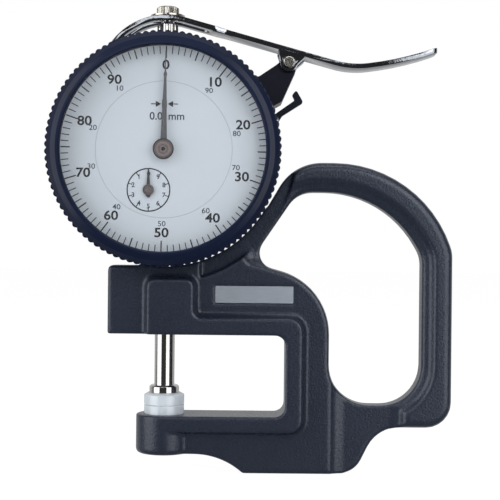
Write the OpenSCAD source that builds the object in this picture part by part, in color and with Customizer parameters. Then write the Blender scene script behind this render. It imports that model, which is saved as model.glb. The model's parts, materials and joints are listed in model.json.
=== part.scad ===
// Dial thickness gauge: a deep cast frame with a loop handle carries a dial indicator whose spindle
// closes a ceramic tip on a ceramic anvil. The origin is the centre of the anvil face, the dial looks
// along -Y and the spindle rises along +Z. All sizes are in millimetres.

/* [Measuring] */
// Spindle travel
travel = 10; // [5:1:12]
// Spindle axis to the back of the throat
throat_depth = 30; // [24:1:40]
// Anvil face to the roof of the throat
throat_h = 17.75; // [16:0.25:24]
// Diameter of both measuring faces
face_d = 10; // [8:0.5:12]
// Anvil height above the lower arm
anvil_h = 2.2; // [1.5:0.1:3]
// Ceramic tip height
tip_h = 3; // [2:0.1:4]
// Steel tip holder diameter
holder_d = 7.4; // [6.5:0.1:8]
// Steel tip holder height
holder_h = 1.9; // [1.5:0.1:2.5]
// Spindle diameter
spindle_d = 5; // [4.6:0.1:5.4]
// Gap left between the closed faces
face_gap = 0.02; // [0.01:0.01:0.05]

/* [Frame] */
// Thickness over the lands round the throat
frame_t = 14; // [12:0.5:16]
// Thickness of the web
web_t = 9.2; // [8:0.2:10]
// Thickness of the neck below the handle
neck_t = 6; // [5:0.2:6.8]
// Thickness of the hand grip
grip_t = 10; // [9:0.2:12]
// Height of the upper arm
arm_h = 16.95; // [15:0.25:20]
// Spindle axis to the free end of the upper arm
arm_reach = 14; // [12:0.5:18]
// Width of the web behind the throat
web_w = 10.9; // [9:0.1:14]
// Width of the finger opening
finger_w = 22.85; // [20:0.05:30]
// Width of the grip bar
grip_w = 7.5; // [7:0.25:9]
// Height of the anvil boss
boss_h = 9.7; // [8:0.1:11]
// Drop from the anvil boss to the foot
foot_drop = 4.6; // [4:0.1:6]
// Rise from the foot to the underside of the handle
neck_rise = 11.55; // [10:0.05:13]
// Height of the lower handle bar
low_bar = 5.4; // [4.5:0.05:6]
// Height of the upper handle bar
top_bar = 7.3; // [6.5:0.1:8.5]
// Drop from the dial centre to the top of the handle
handle_dip = 2.3; // [1:0.1:4]
// Width of the land round the throat
land_w = 4.25; // [3:0.05:4.6]
// Name plate length
plate_l = 19.2; // [14:0.2:20]
// Name plate height
plate_h = 4.17; // [3:0.05:5]

/* [Indicator] */
// Bezel diameter over the knurl
bezel_d = 57; // [56:0.5:60]
// Number of knurl ribs
ribs = 100; // [80:4:120]
// Bezel overhang past the case, all round
bezel_rim = 2.2; // [2:0.1:2.6]
// Case wall
case_wall = 2; // [1.6:0.1:2.4]
// Depth of the bezel below the top of the upper arm
dial_sink = 0.4; // [0:0.1:0.6]
// Bezel overhang past the cradle cut in the frame
cradle_lap = 0.15; // [0:0.05:0.4]
// Stem diameter
stem_d = 8; // [7.5:0.1:8.5]
// Back cover thickness
cover_t = 1.8; // [1.2:0.1:2.4]
// Width of the front ring of the bezel
lip_w = 3.8; // [3.4:0.1:4.2]
// Radius of the fixed inner dial
inner_dial_r = 16.5; // [15:0.1:17]

/* [Movement] */
// Rack pitch
rack_pitch = 0.625; // [0.6:0.005:0.65]
// Teeth of the rack pinion
rack_teeth = 16; // [16:1:18]
// Depth of the rack's pitch line below the spindle surface
rack_depth = 0.5; // [0.4:0.02:0.6]
// Teeth of each wheel
wheel_teeth = 100; // [100:10:110]
// Teeth of the centre pinion
centre_teeth = 10; // [10:1:11]
// Module of wheels and centre pinion
wheel_module = 0.19; // [0.18:0.005:0.2]
// Backlash at the pitch circle
backlash = 0.02; // [0.01:0.005:0.04]

/* [Lifting lever] */
// Strip thickness
strip_t = 1.2; // [1:0.1:1.4]
// Strip width
strip_w = 8; // [7.6:0.1:9]
// Width over the fork
fork_w = 9.4; // [9:0.1:10.4]
// Slot in the fork
fork_slot = 3.8; // [3.6:0.1:4.2]
// Arch radius on the upper surface
arch_r = 17; // [15:0.5:19]
// Slope of the straight part, in degrees
slope = 15.3; // [14:0.1:16]
// Spindle axis to the lever pivot
pivot_x = 30.3; // [29:0.1:32]
// Top of the arch to the lever pivot
pivot_drop = 11.4; // [11:0.1:12]
// Pivot pin diameter
pin_d = 2; // [1.6:0.1:2.4]

/* [Fits] */
// Radial clearance of running fits
run = 0.04; // [0.02:0.01:0.08]
// Radial clearance of seated pieces
seat = 0.01; // [0.005:0.005:0.02]

/* [Hidden] */
$fn = 64;
// Heights on the frame
arm_low = throat_h;
arm_top = arm_low + arm_h;
knurl_r = bezel_d / 2;
dial_z = arm_top + knurl_r - dial_sink;
cradle_r = knurl_r - cradle_lap;
low_arm = -anvil_h;
boss_low = low_arm - boss_h;
foot_z = boss_low - foot_drop;
handle_low = foot_z + neck_rise;
hole_low = handle_low + low_bar;
handle_top = dial_z - handle_dip;
hole_top = handle_top - top_bar;
// Distances across the frame
web_x = throat_depth + web_w;
grip_x = web_x + finger_w;
outer_x = grip_x + grip_w;
boss_r = frame_t / 2 - 0.05;
// Depths of the indicator, front to back
bezel_front = -15.2;
knurl_front = -13.4;
knurl_back = -8.2;
crystal_y = [-14.7, -13.6];
pointer_y = [-11.9, -11.65];
hub_y = [-12.4, -11.5];
hand_y = [-11.1, -10.75];
dial_y = [-10.4, -10];
ink_t = 0.03;
wall_y = [-9.4, -8.2];
plate_y = [-7.6, -6.6];
wheel_y = [-5.9, -5.3];
hair_y = [-5.05, -4.8];
bridge_y = [-4.4, -3.6];
rear_y = [2.9, 3.7];
case_back = 7.5;
cover_back = case_back + cover_t;
case_r = knurl_r - bezel_rim;
bore_r = case_r - case_wall;
rib_h = 0.5;
bezel_bore = case_r - 0.7;
window_r = knurl_r - lip_w;
crystal_r = bezel_bore - 0.3;
spindle_r = spindle_d / 2;
neck_r = 1.6;
stem_r = stem_d / 2;
// Gear train: the spindle rack turns the counter arbor, whose wheel turns the centre pinion
rack_r = rack_teeth * rack_pitch / PI / 2;
rack_x = spindle_r - rack_depth;
rack_add = rack_pitch / PI;
arbor_gap = (wheel_teeth + centre_teeth) * wheel_module / 2;
counter_x = -rack_x - rack_r;
counter_dz = -sqrt(arbor_gap * arbor_gap - counter_x * counter_x);
counter_at = [counter_x, dial_z + counter_dz];
takeup_at = [-counter_x, dial_z - counter_dz];
mesh_angle = atan2(-counter_dz, -counter_x);
shift = 0.4;
arbor_r = 0.5;
jewel_r = 1.1;
pillar_r = 1.2;
pillar_at = [for (a = [-20, 12, 160, 192]) [15.6 * cos(a), dial_z + 15.6 * sin(a)]];
rear_at = [pillar_at[3], [-7.75, dial_z - 14.6]];
movement_r = 17.6;
guide_z = dial_z + bore_r - travel - 5.1;
guide_r = 0.8;
guide_x = [4.6, 6.6];
spring_x = 9.2;
spring_low = dial_z - 11.8;
spring_r = 1.1;
spring_wire = 0.2;
// Upper end of the spindle
arch_z = dial_z + case_r + 7.4;
flange_low = arch_z + 0.08;
flange_t = 0.45;
flange_r = 4.3;
knob_r = 2.8;
knob_h = 2.1;
bush_low = dial_z + bore_r - 0.6;
shoulder_z = bush_low - travel - 0.5;
bush_top = arch_z - strip_t - 0.4;
bush_r = 2.5;
// Lever and bracket
pivot_z = arch_z - pivot_drop;
pivot = [pivot_x, pivot_z];
ear_t = 1.2;
ear_in = strip_w / 2 - ear_t;
boss_ring = 2.2;
clamp_at = on_case(1.45, 15.9);
clamp_ring = 1.2;
clamp_screw_r = 0.6;
clamp_y = [-7.3, -5.9];
lug_y = [-5.8, -3.6];
screw_angles = [30, 150, 210, 330];
post_r = 1.5;
screw_r = 0.8;
screw_ring = bore_r - post_r - 0.4;

// Helpers for outlines drawn in the X-Z plane

function unit(v) = v / norm(v);

function flat(p) = [p[0], p[1]];

// Point outside the case wall, at an angle above the +X axis
function on_case(out, a) = [(case_r + out) * cos(a), dial_z + (case_r + out) * sin(a)];

// Points of one rounded corner p between its neighbours a and b
function corner(a, p, b, r, n) =
    let (
        u = unit(a - p),
        w = unit(b - p),
        half = acos(u * w) / 2,
        c = p + unit(u + w) * r / sin(half),
        s = p + u * r / tan(half) - c,
        e = p + w * r / tan(half) - c,
        a0 = atan2(s[1], s[0]),
        turn = atan2(e[1], e[0]) - a0,
        sweep = turn > 180 ? turn - 360 : turn < -180 ? turn + 360 : turn
    )
    [for (i = [0:n]) c + r * [cos(a0 + sweep * i / n), sin(a0 + sweep * i / n)]];

// Outline through corners [x, z, radius]; corners that were drawn wide get more points
wide_r = 10;
function drawn_r(c) = len(c) > 3 ? c[3] : c[2];

function rounded(v, n = 6) =
    let (m = len(v))
    [for (i = [0:m - 1]) each v[i][2] > 0
        ? corner(flat(v[(i + m - 1) % m]), flat(v[i]), flat(v[(i + 1) % m]), v[i][2],
            drawn_r(v[i]) >= wide_r ? 2 * n : n)
        : [flat(v[i])]];

// The same corners moved inwards by d, with their radii kept concentric
function inset(v, d) =
    let (m = len(v))
    [for (i = [0:m - 1])
        let (
            p = flat(v[i]),
            u = unit(flat(v[(i + m - 1) % m]) - p),
            w = unit(flat(v[(i + 1) % m]) - p),
            side = u[0] * w[1] - u[1] * w[0] < 0 ? 1 : -1,
            q = p + side * unit(u + w) * d / sin(acos(u * w) / 2)
        )
        [q[0], q[1], v[i][2] > 0 ? max(v[i][2] - side * d, 0.02) : 0, drawn_r(v[i])]];

// A solid through the outline at several depths, given as [y, inset]
module loft(v, levels, n = 6) {
    rings = [for (l = levels) [for (q = rounded(inset(v, l[1]), n)) [q[0], l[0], q[1]]]];
    m = len(rings[0]);
    k = len(levels);
    points = [for (r = rings) each r];
    front = [[for (i = [0:m - 1]) m - 1 - i]];
    back = [[for (i = [0:m - 1]) (k - 1) * m + i]];
    sides = [for (j = [0:k - 2]) each [for (i = [0:m - 1]) each [
        [j * m + i, j * m + (i + 1) % m, (j + 1) * m + (i + 1) % m],
        [j * m + i, (j + 1) * m + (i + 1) % m, (j + 1) * m + i]]]];
    polyhedron(points = points, faces = concat(front, back, sides), convexity = 8);
}

// Depth levels of a slab with the same edge on its front and back
function both(half) = concat(half, [for (i = [len(half) - 1:-1:0]) [-half[i][0], half[i][1]]]);

module prism_y(y0, y1) {
    translate([0, y1, 0]) rotate([90, 0, 0]) linear_extrude(height = y1 - y0) children();
}

module rod_y(r, y0, y1) {
    translate([0, y0, 0]) rotate([-90, 0, 0]) cylinder(r = r, h = y1 - y0);
}

// A turned shape about the Y axis from points [radius, y]
module turned_y(points) {
    rotate([-90, 0, 0]) rotate_extrude() polygon(points);
}

module turned_z(points) {
    rotate_extrude() polygon(points);
}

module at(p) {
    translate([p[0], 0, p[1]]) children();
}

module on_dial() {
    translate([0, 0, dial_z]) children();
}

// Frame casting

// The paths run a little into the throat, which is cut to size at the end
spill = 1.5;
outer_path = [
    [-arm_reach, arm_low - spill, 0], [throat_depth - spill, arm_low - spill, 0],
    [throat_depth - spill, low_arm + spill, 0], [0, low_arm + spill, 0], [0, boss_low, 0],
    [14.2, boss_low, 18], [14.2 + 1.2 * foot_drop, foot_z, 0.1], [web_x + 6.5, foot_z, 6],
    [web_x + 12.2, handle_low, 9], [outer_x, handle_low, 6.3], [outer_x, dial_z - 24.2, 8],
    [outer_x - 7.75, handle_top, 30.6], [31.8, handle_top, 12],
    [0.884 * cradle_r, dial_z - 0.487 * cradle_r, 0],
    [0, dial_z, 0], [-6.2, arm_top, 0], [-arm_reach, arm_top, 1.2]];
hole_path = [
    [web_x, hole_low, 10], [grip_x, hole_low, 10], [grip_x, hole_top - 15.8, 7],
    [grip_x - 9.12, hole_top, 26.2], [32.86, hole_top, 7], [21, arm_top + 0.94, 4],
    [web_x, arm_top - 4.39, 16.2]];
throat_path = [
    [-arm_reach - 4, low_arm, 0], [throat_depth, low_arm, 2.5], [throat_depth, arm_low, 2.5],
    [-arm_reach - 4, arm_low, 0]];
boss_right = 7.44;
land_path = [
    [-4.1, arm_low - 2, 0], [throat_depth - 2, arm_low - 2, 0], [throat_depth - 2, low_arm + 2, 0],
    [0, low_arm + 2, 0], [0, low_arm - land_w + 0.35, 0],
    [throat_depth + land_w, low_arm - land_w + 0.35, 3.2],
    [throat_depth + land_w, arm_low + land_w, 3.3], [boss_right, arm_low + land_w, 2],
    [boss_right, arm_top - 3.2, 2], [-4.1, arm_top - 3.2, 2]];
// Where the web and the grip rise from the neck; both run past the outline, which trims them
web_path = [
    [-arm_reach - 4, foot_z - 4, 0], [web_x + 0.8, foot_z - 4, 0], [web_x + 0.8, arm_top - 4.39, 17],
    [21, arm_top + 0.9, 0], [18, arm_top + 4, 0], [-arm_reach - 4, arm_top + 4, 0]];
grip_path = [
    [grip_x - 5.2, handle_low - 4, 0], [outer_x + 4, handle_low - 4, 0], [outer_x + 4, handle_top + 4, 0],
    [20, handle_top + 4, 0], [20, dial_z - 10.4, 0], [33, dial_z - 19.1, 0], [web_x + 4, arm_top - 5, 0],
    [grip_x - 5.2, hole_low + 11, 0]];

module casting() {
    neck = neck_t / 2;
    web = web_t / 2;
    grip = grip_t / 2;
    land = frame_t / 2;
    film = 0.04;
    difference() {
        union() {
            loft(outer_path, both([[-neck, 0.8], [-neck + 0.3, 0.25], [-neck + 0.9, 0]]));
            // Web, whose right edge runs out to the neck in a wide fillet
            intersection() {
                loft(web_path, both([[-web, 0.8], [-web + 0.25, 0.25], [-web + 0.7, -0.2],
                    [-neck - 0.35, -1.2], [-neck + 0.1, -3.4]]));
                loft(outer_path, both([[-web - 1, 2.6], [-web, 0.8], [-web + 0.25, 0.25],
                    [-web + 0.8, film]]));
            }
            // Raised land round the throat, with the stem boss
            loft(land_path, both([[-land, 0.5], [-land + 0.15, 0.15], [-land + 0.5, 0],
                [-web - 0.7, -0.45], [-web - 0.2, -0.8], [-web + 0.1, -1.5]]));
            // Hand grip, hollowed on its inner side
            difference() {
                intersection() {
                    loft(grip_path, both([[-grip, 1.8], [-grip + 0.3, 1], [-grip + 0.9, 0.4],
                        [-neck - 0.5, 0], [-neck + 0.1, -2.6]]));
                    loft(outer_path, both([[-grip - 1, 4.4], [-grip, 1.8], [-grip + 0.3, 1],
                        [-grip + 0.9, 0.4], [-grip + 2, film]]));
                }
                loft(hole_path, both([[-grip - 1, -3.6], [-grip, -3.1], [-neck - 0.7, -2],
                    [-neck - 0.3, -0.6], [-neck + 0.6, film]]));
            }
            translate([0, 0, boss_low - film]) turned_z([[0, 0], [boss_r - 1, 0], [boss_r - 0.3, 0.3],
                [boss_r, 1], [boss_r, boss_h + 0.5], [0, boss_h + 0.5]]);
        }
        loft(hole_path, both([[-web - 4, -0.8], [-web, -0.8], [-web + 0.3, -0.25], [-neck + 0.5, 0]]));
        loft(throat_path, both([[-land - 1, -0.5], [-land, -0.5], [-land + 0.15, -0.15],
            [-land + 0.5, 0]]));
        on_dial() rod_y(cradle_r, -frame_t, frame_t);
        // Finger room beside the bezel, sunk to the neck level right of the stem boss
        for (y = [-frame_t, neck + film]) {
            intersection() {
                on_dial() rod_y(cradle_r + 3.9, y, y + frame_t - neck - film);
                translate([boss_right + 1.4, -2 * frame_t, arm_low]) cube([30, 4 * frame_t, 60]);
            }
        }
    }
}

plate_at = [22.26, arm_low + 9.95];
plate_sink = 0.3;

module frame_casting() {
    color("dimgray") difference() {
        // One smooth shell, brought to the full thickness over its lands
        resize([0, frame_t, 0]) casting();
        // Stem bore, anvil bore, clamp screw hole and name plate pocket
        translate([0, 0, arm_low - 1]) cylinder(r = stem_r + seat, h = arm_h + 2);
        translate([0, 0, boss_low + 2]) cylinder(r = shank_r + seat, h = boss_h);
        translate([-arm_reach - 1, 0, clamp_z]) rotate([0, 90, 0])
            cylinder(r = clamp_r + seat, h = arm_reach + 1);
        at(plate_at) translate([-plate_l / 2 - 0.3, -web_t / 2 - 1, -plate_h / 2 - 0.3])
            cube([plate_l + 0.6, 1 + plate_sink, plate_h + 0.6]);
    }
}

shank_r = 3;
clamp_r = 2;
clamp_z = arm_low + arm_h / 2;

module anvil_tip() {
    color("ivory") translate([0, 0, low_arm]) turned_z([[0, 0], [face_d / 2, 0],
        [face_d / 2, anvil_h - 0.15], [face_d / 2 - 0.15, anvil_h], [0, anvil_h]]);
}

module anvil_shank() {
    color("silver") translate([0, 0, boss_low + 2]) cylinder(r = shank_r, h = low_arm - boss_low - 2);
}

// Socket set screw that holds the stem from the free end of the arm
module stem_clamp_screw() {
    length = arm_reach - stem_r - 1.2;
    color("dimgray") translate([-stem_r - length - 0.02, 0, clamp_z]) rotate([0, 90, 0]) difference() {
        union() {
            cylinder(r = clamp_r, h = length - 0.8);
            translate([0, 0, length - 0.8]) cylinder(r1 = clamp_r, r2 = clamp_r - 0.8, h = 0.8);
        }
        translate([0, 0, -1]) cylinder(r = 1.15, h = 3.2, $fn = 6);
    }
}

module label_plate() {
    color("lightgray") at(plate_at) prism_y(-web_t / 2 + plate_sink - 0.5, -web_t / 2 + plate_sink)
        polygon(rounded([for (q = [[-1, -1], [1, -1], [1, 1], [-1, 1]])
            [q[0] * plate_l / 2, q[1] * plate_h / 2, 0.25]], 3));
}

// Indicator case

module indicator_case() {
    color("dimgray") difference() {
        union() {
            on_dial() turned_y([[0, wall_y[0]], [case_r, wall_y[0]], [case_r, -9.2], [case_r - 0.25, -9.2],
                [case_r - 0.25, -8.6], [case_r, -8.6], [case_r, case_back], [bore_r, case_back],
                [bore_r, wall_y[1]], [0, wall_y[1]]]);
            on_dial() for (a = screw_angles) rotate([0, -a, 0]) translate([screw_ring, 0, 0])
                rod_y(post_r, wall_y[1] - 0.1, case_back);
            // Flat pads where the stem and the upper bush seat
            translate([0, 0, dial_z - case_r - 0.6]) cylinder(r = stem_r + 1.4, h = case_wall);
            translate([0, 0, dial_z + bore_r + 0.6]) cylinder(r = bush_r + 1.5, h = case_wall);
            // Lug for the bezel clamp
            at(clamp_at) prism_y(lug_y[0], lug_y[1]) union() {
                circle(r = clamp_ring);
                translate([-2.2, -1]) square([2.2, 2]);
            }
        }
        on_dial() rod_y(jewel_r + 0.3, wall_y[0] - 1, wall_y[1] + 1);
        at(counter_at) rod_y(jewel_r + 0.3, wall_y[0] - 1, wall_y[1] + 1);
        for (p = dial_feet) at(p) rod_y(foot_r + seat, wall_y[0] - 1, wall_y[1] + 1);
        translate([0, 0, dial_z - case_r - 2]) cylinder(r = stem_r + seat, h = case_wall + 2.6);
        translate([0, 0, dial_z + bore_r - 1]) cylinder(r = bush_r + seat, h = case_wall + 3);
        for (p = pillar_at) at(p) rod_y(0.7 + seat, wall_y[0] - 1, wall_y[1] + 1);
        on_dial() for (a = screw_angles) rotate([0, -a, 0]) translate([screw_ring, 0, 0])
            rod_y(screw_r + seat, case_back - 5, case_back + 1);
        at(clamp_at) rod_y(clamp_screw_r + seat, lug_y[0] - 1, lug_y[1] + 1);
        for (a = bracket_angles) on_dial() rotate([0, -a, 0]) translate([bore_r - 0.2, bracket_screw_y, 0])
            rotate([0, 90, 0]) cylinder(r = 0.6 + seat, h = case_wall + 1);
    }
}

module stem() {
    color("silver") difference() {
        translate([0, 0, arm_low]) cylinder(r = stem_r, h = dial_z - bore_r - arm_low + 0.4);
        translate([0, 0, arm_low - 1]) cylinder(r = spindle_r + run, h = dial_z);
    }
}

// Guide for the spindle neck, with a shoulder on the case
module upper_guide_bush() {
    shoulder = dial_z + case_r + 0.6;
    color("silver") difference() {
        union() {
            translate([0, 0, bush_low]) cylinder(r = bush_r, h = shoulder - bush_low + 1);
            translate([0, 0, shoulder]) cylinder(r = bush_r + 1.2, h = 1.4);
            translate([0, 0, shoulder + 1.3]) knurled(bush_r + 0.1, bush_top - shoulder - 1.3);
        }
        translate([0, 0, bush_low - 1]) cylinder(r = neck_r + run, h = 20);
    }
}

module back_cover() {
    color("dimgray") on_dial() difference() {
        turned_y([[0, case_back - 0.8], [bore_r - 0.3, case_back - 0.8], [bore_r - 0.3, case_back],
            [case_r, case_back], [case_r, cover_back - 0.5], [case_r - 0.5, cover_back], [0, cover_back]]);
        for (a = screw_angles) rotate([0, -a, 0]) translate([screw_ring, 0, 0]) {
            rod_y(screw_r + 0.2, case_back - 2, cover_back + 1);
            rod_y(1.9, cover_back - 1.1, cover_back + 1);
            rod_y(post_r + 0.15, case_back - 2, case_back);
        }
        turned_y([[bore_r + 0.3, case_back - 1], [case_r - 0.5, case_back - 1],
            [case_r - 0.5, case_back + 0.4], [bore_r + 0.3, case_back + 0.4]]);
    }
}

module back_cover_gasket() {
    color("black") on_dial() turned_y([[bore_r + 0.3, case_back], [case_r - 0.5, case_back],
        [case_r - 0.5, case_back + 0.4], [bore_r + 0.3, case_back + 0.4]]);
}

module back_cover_screws() {
    color("silver") on_dial() for (a = screw_angles) rotate([0, -a, 0]) translate([screw_ring, 0, 0])
        difference() {
            union() {
                rod_y(1.8, cover_back - 1.1, cover_back - 0.1);
                rod_y(screw_r, case_back - 4, cover_back - 1);
            }
            translate([-2, cover_back - 0.5, -0.2]) cube([4, 1, 0.4]);
        }
}

dial_feet = [[-10, dial_z + 9], [10, dial_z - 9]];
foot_r = 0.6;

// Movement

module movement_disc(y) {
    prism_y(y[0], y[1]) difference() {
        translate([0, dial_z]) circle(r = movement_r);
        for (p = concat([[0, dial_z], counter_at, takeup_at])) translate(p) circle(r = jewel_r + seat);
        for (p = pillar_at) translate(p) circle(r = 0.7 + seat);
        // Windows
        for (s = [-1, 1]) translate([s * 9.6, dial_z + s * 6.4]) circle(r = 3.4);
        for (s = [-1, 1]) translate([s * 10.5, dial_z - s * 11]) circle(r = 2);
    }
}

module movement_plate() {
    color("goldenrod") movement_disc(plate_y);
}

module front_bridge() {
    color("goldenrod") difference() {
        movement_disc(bridge_y);
        at(rear_at[1]) rod_y(0.7 + seat, bridge_y[0] - 1, bridge_y[1] + 1);
        at([spring_x, spring_low]) rod_y(0.5 + seat, bridge_y[0] - 1, bridge_y[1] + 1);
        at(hair_stud) rod_y(stud_r + seat, bridge_y[0] - 1, bridge_y[1] + 1);
    }
}

// Bridge behind the spindle that carries the rear pivot of the counter arbor
module rear_bridge() {
    color("goldenrod") prism_y(rear_y[0], rear_y[1]) difference() {
        polygon(rounded([[rear_at[0][0] - 3.4, rear_at[0][1] + 3.2, 2.2],
            [rear_at[1][0] - 1, rear_at[1][1] - 4.6, 2.2], [counter_x + 4.6, counter_at[1] + 0.4, 2.2]]));
        translate(counter_at) circle(r = jewel_r + seat);
        for (p = rear_at) translate(p) circle(r = 0.7 + seat);
    }
}

module movement_pillars() {
    color("silver") {
        for (p = pillar_at) at(p) {
            rod_y(pillar_r, wall_y[1], plate_y[0]);
            rod_y(pillar_r, plate_y[1], bridge_y[0]);
            rod_y(0.7, wall_y[0], bridge_y[1]);
        }
        for (p = rear_at) at(p) {
            rod_y(pillar_r, bridge_y[1], rear_y[0]);
            rod_y(0.7, bridge_y[1] - 0.6, rear_y[1]);
        }
    }
}

module slotted_head(y, r, t) {
    difference() {
        rod_y(r, y, y + t);
        translate([-r - 1, y + t - 0.25, -0.15]) cube([2 * r + 2, 1, 0.3]);
    }
}

module movement_screws() {
    color("steelblue") {
        for (i = [0:2]) at(pillar_at[i]) slotted_head(bridge_y[1], 1.3, 0.7);
        for (p = rear_at) at(p) slotted_head(rear_y[1], 1.3, 0.7);
    }
}

module jewel(y) {
    difference() {
        rod_y(jewel_r, y[0], y[1]);
        rod_y(arbor_r * 0.6 + run, y[0] - 1, y[1] + 1);
    }
}

module jewel_bearings() {
    color("crimson") {
        difference() {
            for (p = [[0, dial_z], counter_at, takeup_at]) at(p) rod_y(jewel_r, plate_y[0], plate_y[1]);
            for (p = [[0, dial_z], counter_at]) at(p) rod_y(arbor_r + run, plate_y[0] - 1, plate_y[1] + 1);
            at(takeup_at) rod_y(arbor_r * 0.6 + run, plate_y[0] - 1, plate_y[1] + 1);
        }
        at([0, dial_z]) jewel(bridge_y);
        at(takeup_at) jewel(bridge_y);
        difference() {
            at(counter_at) rod_y(jewel_r, bridge_y[0], bridge_y[1]);
            at(counter_at) rod_y(arbor_r + run, bridge_y[0] - 1, bridge_y[1] + 1);
        }
        at(counter_at) jewel(rear_y);
    }
}

// Gears

function involute(a) = tan(a) * 180 / PI - a;

// Half the tooth angle at radius r, for base radius b and half angle h at the base circle
function half_tooth(r, b, h) = r <= b ? h : h - involute(acos(b / r));

function gear_points(teeth, m, x, phase) =
    let (
        p = teeth * m / 2,
        b = p * cos(20),
        tip = p + m * (1 + x),
        root = p - m * (1.2 - x),
        h = 90 / teeth + (2 * x * tan(20) / teeth - backlash / teeth / m) * 180 / PI + involute(20),
        low = max(root, b),
        radii = [root, low + 0.02 * m, (low + tip) / 2, tip]
    )
    [for (i = [0:teeth - 1]) each concat(
        [for (j = [0:3]) let (a = phase + 360 * i / teeth - half_tooth(radii[j], b, h))
            radii[j] * [cos(a), sin(a)]],
        [for (j = [3:-1:0]) let (a = phase + 360 * i / teeth + half_tooth(radii[j], b, h))
            radii[j] * [cos(a), sin(a)]])];

module wheel(at_point, phase, bore) {
    at(at_point) prism_y(wheel_y[0], wheel_y[1]) difference() {
        polygon(gear_points(wheel_teeth, wheel_module, -shift, phase));
        circle(r = bore);
        for (a = [0:72:288]) rotate(a + 20) translate([5.2, 0]) circle(r = 2);
    }
}

module counter_wheel() {
    color("gold") wheel(counter_at, mesh_angle, arbor_r + 0.35);
}

module takeup_wheel() {
    color("gold") wheel(takeup_at, mesh_angle + 180, arbor_r + 0.35);
}

module pointer_arbor() {
    color("silver") on_dial() {
        prism_y(wheel_y[0] - 0.25, wheel_y[1] + 0.3)
            polygon(gear_points(centre_teeth, wheel_module, shift, mesh_angle + 180 + 180 / centre_teeth));
        rod_y(arbor_r, hub_y[0] + 0.15, wheel_y[1]);
        rod_y(arbor_r * 0.6, wheel_y[1], bridge_y[1] + 0.3);
    }
}

module counter_arbor() {
    color("silver") at(counter_at) {
        rod_y(arbor_r, hand_y[0] + 0.1, 2);
        rod_y(arbor_r + 0.35, wheel_y[0] - 0.3, wheel_y[1] + 0.3);
        rod_y(arbor_r * 0.6, 1.9, rear_y[1] + 0.1);
        prism_y(-1.1, 1.1) polygon(gear_points(rack_teeth, rack_pitch / PI, 0, 0));
    }
}

module takeup_arbor() {
    color("silver") at(takeup_at) {
        rod_y(arbor_r, plate_y[1] + 0.1, bridge_y[0] - 0.1);
        rod_y(arbor_r + 0.35, wheel_y[0] - 0.3, hair_y[1]);
        rod_y(arbor_r * 0.6, plate_y[0] + 0.1, bridge_y[1]);
    }
}

// Hairspring: a flat spiral round the take-up arbor, pinned to a stud on the front bridge
hair_turns = 5;
hair_r = [0.95, 5.6];
hair_t = 0.12;
stud_r = 0.35;
hair_stud = [takeup_at[0] + hair_r[1] + hair_t + stud_r - 0.02, takeup_at[1]];

function spiral(s) = [for (i = [0:hair_turns * 16]) let (a = i * 22.5,
    r = hair_r[0] + (hair_r[1] - hair_r[0]) * i / (hair_turns * 16) + s) r * [cos(a), sin(a)]];

module hairspring() {
    outside = spiral(hair_t);
    color("steelblue") at(takeup_at) prism_y(hair_y[0], hair_y[1])
        polygon(concat(spiral(0), [for (i = [len(outside) - 1:-1:0]) outside[i]]));
}

module hairspring_stud() {
    color("silver") at(hair_stud) rod_y(stud_r, hair_y[0] - 0.1, bridge_y[1]);
}

// Return spring between the guide pin and its post
spring_turns = 9;

module return_spring() {
    low = spring_low + 0.5;
    high = guide_z - guide_r;
    steps = spring_turns * 12;
    sides = 6;
    rings = [for (i = [0:steps])
        let (a = 30 * i, z = low + spring_wire + (high - low - 2 * spring_wire) * i / steps)
        [for (k = [0:sides - 1]) let (r = spring_r + spring_wire * cos(60 * k))
            [spring_x + r * cos(a), r * sin(a), z + spring_wire * sin(60 * k)]]];
    points = [for (r = rings) each r];
    ends = [[for (k = [0:sides - 1]) k], [for (k = [0:sides - 1]) steps * sides + sides - 1 - k]];
    walls = [for (i = [0:steps - 1]) each [for (k = [0:sides - 1]) each [
        [i * sides + k, (i + 1) * sides + k, (i + 1) * sides + (k + 1) % sides],
        [i * sides + k, (i + 1) * sides + (k + 1) % sides, i * sides + (k + 1) % sides]]]];
    color("silver") polyhedron(points = points, faces = concat(ends, walls), convexity = 10);
}

module spring_post() {
    color("silver") at([spring_x, spring_low]) {
        rod_y(0.5, bridge_y[0], 1.8);
        rod_y(1, bridge_y[1], bridge_y[1] + 1);
    }
}

// Slotted rail that keeps the spindle from turning
module guide_plate() {
    color("goldenrod") difference() {
        translate([guide_x[0], bridge_y[1], guide_z - 2.4])
            cube([guide_x[1] - guide_x[0], -2 * bridge_y[1] - 0.8, travel + 4.8]);
        translate([guide_x[0] - 1, -guide_r - run, guide_z - 1.2])
            cube([guide_x[1] - guide_x[0] + 2, 2 * (guide_r + run), travel + 2.4]);
    }
}

// Dial faces

module dial_disc() {
    color("whitesmoke") difference() {
        union() {
            on_dial() rod_y(inner_dial_r, dial_y[0], dial_y[1]);
            for (p = dial_feet) at(p) rod_y(foot_r, dial_y[0] + 0.1, wall_y[1]);
            for (p = dial_feet) at(p) rod_y(foot_r + 0.6, dial_y[1] - 0.1, wall_y[0]);
        }
        on_dial() rod_y(arbor_r + 0.4, dial_y[0] - 1, dial_y[1] + 1);
        at(counter_at) rod_y(arbor_r + 0.3, dial_y[0] - 1, dial_y[1] + 1);
    }
}

module tick(angle, r0, r1, w) {
    rotate(90 - angle) translate([r0, -w / 2]) square([r1 - r0, w]);
}

counter_r = 5.3;

module counter_marks() {
    color("black") at(counter_at) prism_y(dial_y[0] - ink_t, dial_y[0]) {
        difference() {
            circle(r = counter_r);
            circle(r = counter_r - 0.16);
        }
        for (i = [0:9]) tick(36 * i, counter_r - 1.2, counter_r - 0.1, 0.2);
    }
}

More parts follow.
